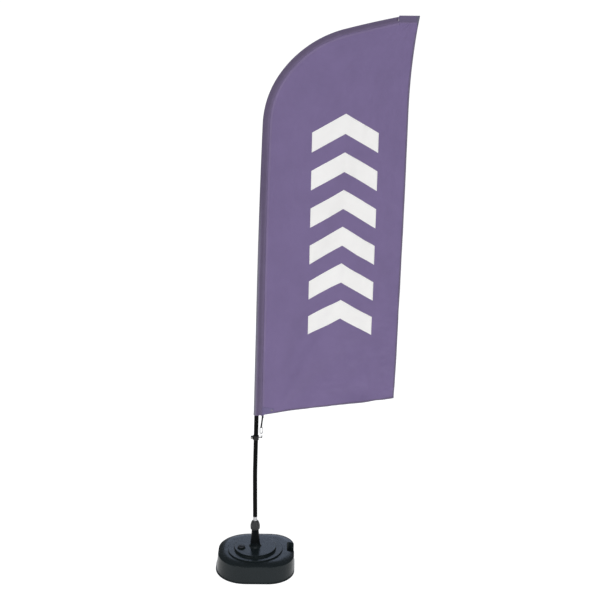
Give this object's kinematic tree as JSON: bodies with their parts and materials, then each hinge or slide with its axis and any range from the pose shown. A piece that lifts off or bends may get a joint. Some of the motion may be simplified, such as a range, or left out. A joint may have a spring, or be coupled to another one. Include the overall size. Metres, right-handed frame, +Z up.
{
  "type": "feather flag with pole",
  "caption": "Feather flag: a curved cloth banner on a flexed pole that turns on a bearing spigot in a water-filled base, held down by an elastic strap.",
  "frame": {"origin": "centre of the water base's underside, on the floor, on the pole's turning axis", "axes": "+Z up along the turning axis, +X the way the flag flies at rest, the cloth in the XZ plane"},
  "size_m": [1.075, 0.42, 3.14],
  "materials": {
    "tank_plastic": "satin",
    "water": "gloss",
    "cap_plastic": "matte",
    "nut_plastic": "satin",
    "clamp_plastic": "satin",
    "rubber": "matte",
    "chromed_steel": "polished",
    "bearing_steel": "polished",
    "spring_steel": "satin",
    "zinc_steel": "satin",
    "link_steel": "satin",
    "hook_black": "satin",
    "brass": "satin",
    "eyelet_brass": "satin",
    "spacer_alloy": "satin",
    "black_tube": "satin",
    "glass_fibre": "satin",
    "flag_cloth": "matte",
    "sleeve_cloth": "matte",
    "webbing": "matte"
  },
  "bodies": {
    "base": {"water_tank": "tank_plastic", "water_ballast": "water", "spigot_housing": "chromed_steel", "housing_plug": "cap_plastic", "lower_outer_race": "bearing_steel", "upper_outer_race": "bearing_steel", "outer_race_spacer": "spacer_alloy"},
    "collet": {"neck_collet": "cap_plastic"},
    "nut": {"locking_nut": "nut_plastic"},
    "cap_seal": {"cap_gasket": "rubber"},
    "cap": {"filler_cap": "cap_plastic"},
    "lower_balls": {"lower_bearing_balls": "bearing_steel", "lower_ball_cage": "brass"},
    "upper_balls": {"upper_bearing_balls": "bearing_steel", "upper_ball_cage": "brass"},
    "rotor": {"spigot_shaft": "chromed_steel", "lower_inner_race": "bearing_steel", "upper_inner_race": "bearing_steel", "inner_race_spacer": "spacer_alloy", "shaft_circlip": "spring_steel", "spigot_o_rings": "rubber"},
    "flagpole": {"pole_lower": "black_tube", "pole_middle": "black_tube", "middle_stop_rivet": "zinc_steel", "tip_ferrule": "cap_plastic", "pole_tip_rod": "glass_fibre", "tip_cap": "rubber", "pole_sleeve": "sleeve_cloth", "flag_panel": "flag_cloth", "top_corner_patches": "sleeve_cloth", "tack_corner_patches": "sleeve_cloth", "tack_eyelet": "eyelet_brass", "strap_tab": "webbing", "elastic_strap": "webbing"},
    "clamp": {"clamp_collar": "clamp_plastic", "clamp_nut": "zinc_steel", "link_ring": "link_steel", "snap_hook_body": "hook_black", "gate_pin": "zinc_steel", "strap_loop": "webbing"},
    "clamp_screw": {"clamp_screw": "zinc_steel"},
    "gate": {"snap_hook_gate": "hook_black"}
  },
  "joints": [
    {"name": "collet_lift", "type": "slide", "parent": "base", "child": "collet", "axis": [0, 0, 1], "range_m": [0, 0.0045]},
    {"name": "nut_turn", "type": "hinge", "parent": "collet", "child": "nut", "pos_m": [0, 0, 0.235], "axis": [0, 0, 1], "range_deg": [0, 540.5]},
    {"name": "cap_lift", "type": "slide", "parent": "base", "child": "cap_seal", "axis": [0, 0, 1], "range_m": [0, 0.012]},
    {"name": "cap_turn", "type": "hinge", "parent": "cap_seal", "child": "cap", "pos_m": [-0.079, -0.02, 0.134], "axis": [0, 0, 1], "range_deg": [0, 1080.5]},
    {"name": "rotor_spin", "type": "hinge", "parent": "base", "child": "rotor", "pos_m": [0, 0, 0.3], "axis": [0, 0, 1], "continuous": true},
    {"name": "lower_balls_spin", "type": "hinge", "parent": "base", "child": "lower_balls", "pos_m": [0, 0, 0.1825], "axis": [0, 0, 1], "continuous": true},
    {"name": "upper_balls_spin", "type": "hinge", "parent": "base", "child": "upper_balls", "pos_m": [0, 0, 0.2865], "axis": [0, 0, 1], "continuous": true},
    {"name": "pole_lift", "type": "slide", "parent": "rotor", "child": "flagpole", "axis": [0, 0, 1], "range_m": [0, 0.19]},
    {"name": "clamp_slide", "type": "slide", "parent": "flagpole", "child": "clamp", "axis": [-0.0262, 0, -0.9997], "range_m": [-0.02, 0.05], "deforming": ["elastic_strap"]},
    {"name": "clamp_screw_turn", "type": "hinge", "parent": "clamp", "child": "clamp_screw", "pos_m": [-0.01672, 0, 0.81352], "axis": [0, 1, 0], "range_deg": [0, 720]},
    {"name": "gate_swing", "type": "hinge", "parent": "clamp", "child": "gate", "pos_m": [0.043, 0, 0.848], "axis": [0, -1, 0], "range_deg": [0, 25], "stiffness_Nm_per_rad": 0.01, "springref_deg": -17.19}
  ],
  "couplings": [
    {"joint": "nut_turn", "follows": "collet_lift", "rad_per_m": 2094.4},
    {"joint": "cap_turn", "follows": "cap_lift", "rad_per_m": 1570.8},
    {"joint": "lower_balls_spin", "follows": "rotor_spin", "ratio": 0.42788},
    {"joint": "upper_balls_spin", "follows": "rotor_spin", "ratio": 0.42788}
  ]
}
